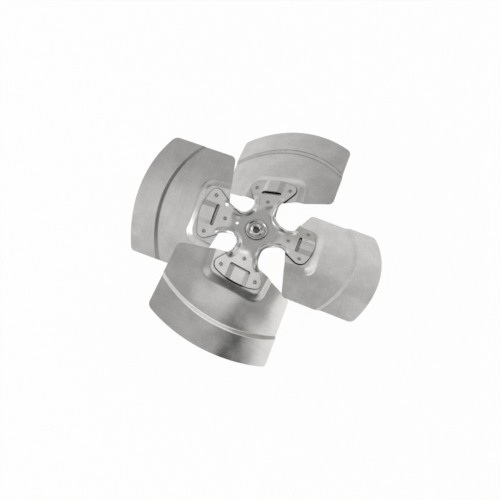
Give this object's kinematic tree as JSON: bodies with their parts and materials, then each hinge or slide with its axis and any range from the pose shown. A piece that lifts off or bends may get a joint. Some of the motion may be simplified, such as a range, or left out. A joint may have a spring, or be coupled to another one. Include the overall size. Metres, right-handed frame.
{
  "type": "axial fan impeller",
  "caption": "Axial fan impeller with broad cambered sheet-metal blades riveted to a pressed cross-shaped spider, on a swaged steel hub with a round shaft bore.",
  "frame": {"origin": "on the shaft bore's axis, in the plane of the spider's front face at its flat centre", "axes": "+Z along the shaft bore, out of the front, where the hub is swaged over; +X along the first arm, +Y along the second; the first blade's raised edge is on its -Y side"},
  "size_m": [0.6096, 0.6096, 0.1227],
  "materials": {
    "blade_sheet": "mill-finish rolled sheet",
    "spider_steel": "bright zinc plate on a steel pressing",
    "hub_steel": "turned and zinc plated",
    "rivet_steel": "bright zinc plate, rolled clinch",
    "screw_steel": "black oxide"
  },
  "bodies": {
    "root": {"spider": "spider_steel", "hub": "hub_steel", "set_screw_1": "screw_steel", "set_screw_2": "screw_steel", "blade_1": "blade_sheet", "blade_2": "blade_sheet", "blade_3": "blade_sheet", "blade_4": "blade_sheet", "rivet_1_inner": "rivet_steel", "rivet_1_leading": "rivet_steel", "rivet_1_trailing": "rivet_steel", "rivet_2_inner": "rivet_steel", "rivet_2_leading": "rivet_steel", "rivet_2_trailing": "rivet_steel", "rivet_3_inner": "rivet_steel", "rivet_3_leading": "rivet_steel", "rivet_3_trailing": "rivet_steel", "rivet_4_inner": "rivet_steel", "rivet_4_leading": "rivet_steel", "rivet_4_trailing": "rivet_steel"}
  },
  "joints": []
}
